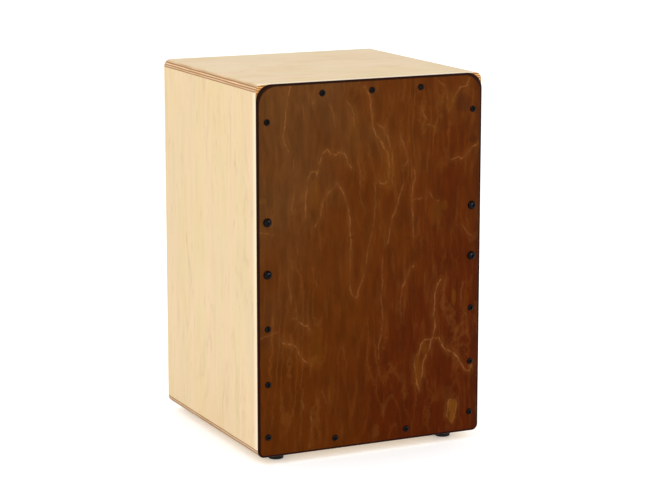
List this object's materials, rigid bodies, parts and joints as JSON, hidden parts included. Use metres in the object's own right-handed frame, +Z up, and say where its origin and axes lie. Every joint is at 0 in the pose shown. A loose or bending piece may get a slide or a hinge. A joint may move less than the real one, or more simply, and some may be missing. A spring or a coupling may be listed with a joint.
{
  "type": "cajon",
  "caption": "Box drum to sit on: birch plywood shell, thin stained front plate screwed on, rear sound hole, fixed snare wires inside, rubber feet.",
  "frame": {"origin": "middle of the footprint, on the floor under the rubber feet", "axes": "+Z up; -Y the played front plate, +Y the rear panel with the sound hole; +X to the right of someone who looks at the front plate"},
  "size_m": [0.298, 0.2932, 0.457],
  "materials": {
    "birch_ply": "clear satin lacquer over pale birch plywood",
    "stained_ply": "brown stain under semi-gloss lacquer, birch veneer",
    "pine": "bare planed softwood",
    "beech": "bare planed hardwood",
    "black_steel": "black oxide, slightly glossy",
    "zinc_steel": "bright zinc plate",
    "rubber": "matt moulded rubber"
  },
  "bodies": {
    "root": {"bar_screw_left_lower": "zinc_steel", "bar_screw_left_upper": "zinc_steel", "bar_screw_right_lower": "zinc_steel", "bar_screw_right_upper": "zinc_steel", "base_panel": "birch_ply", "clamp_bolt_left_1": "black_steel", "clamp_bolt_left_2": "black_steel", "clamp_bolt_right_1": "black_steel", "clamp_bolt_right_2": "black_steel", "clamp_nut_left_1": "zinc_steel", "clamp_nut_left_2": "zinc_steel", "clamp_nut_right_1": "zinc_steel", "clamp_nut_right_2": "zinc_steel", "foot_screw_front_left": "zinc_steel", "foot_screw_front_right": "zinc_steel", "foot_screw_rear_left": "zinc_steel", "foot_screw_rear_right": "zinc_steel", "foot_washer_front_left": "zinc_steel", "foot_washer_front_right": "zinc_steel", "foot_washer_rear_left": "zinc_steel", "foot_washer_rear_right": "zinc_steel", "front_batten_bottom": "pine", "front_batten_left": "pine", "front_batten_right": "pine", "front_batten_top": "pine", "front_plate": "stained_ply", "left_side_panel": "birch_ply", "plate_screw_bottom_1": "black_steel", "plate_screw_bottom_2": "black_steel", "plate_screw_left_1": "black_steel", "plate_screw_left_2": "black_steel", "plate_screw_left_3": "black_steel", "plate_screw_left_4": "black_steel", "plate_screw_right_1": "black_steel", "plate_screw_right_2": "black_steel", "plate_screw_right_3": "black_steel", "plate_screw_right_4": "black_steel", "plate_screw_top_1": "black_steel", "plate_screw_top_2": "black_steel", "plate_screw_top_3": "black_steel", "rear_batten_bottom": "pine", "rear_batten_left": "pine", "rear_batten_right": "pine", "rear_batten_top": "pine", "rear_panel": "birch_ply", "right_side_panel": "birch_ply", "rubber_foot_front_left": "rubber", "rubber_foot_front_right": "rubber", "rubber_foot_rear_left": "rubber", "rubber_foot_rear_right": "rubber", "seat_panel": "birch_ply", "snare_bar": "beech", "snare_cleat_left": "pine", "snare_cleat_right": "pine", "snare_screw_left_1": "zinc_steel", "snare_screw_left_2": "zinc_steel", "snare_screw_right_1": "zinc_steel", "snare_screw_right_2": "zinc_steel", "snare_wires_left": "zinc_steel", "snare_wires_right": "zinc_steel"}
  },
  "joints": []
}
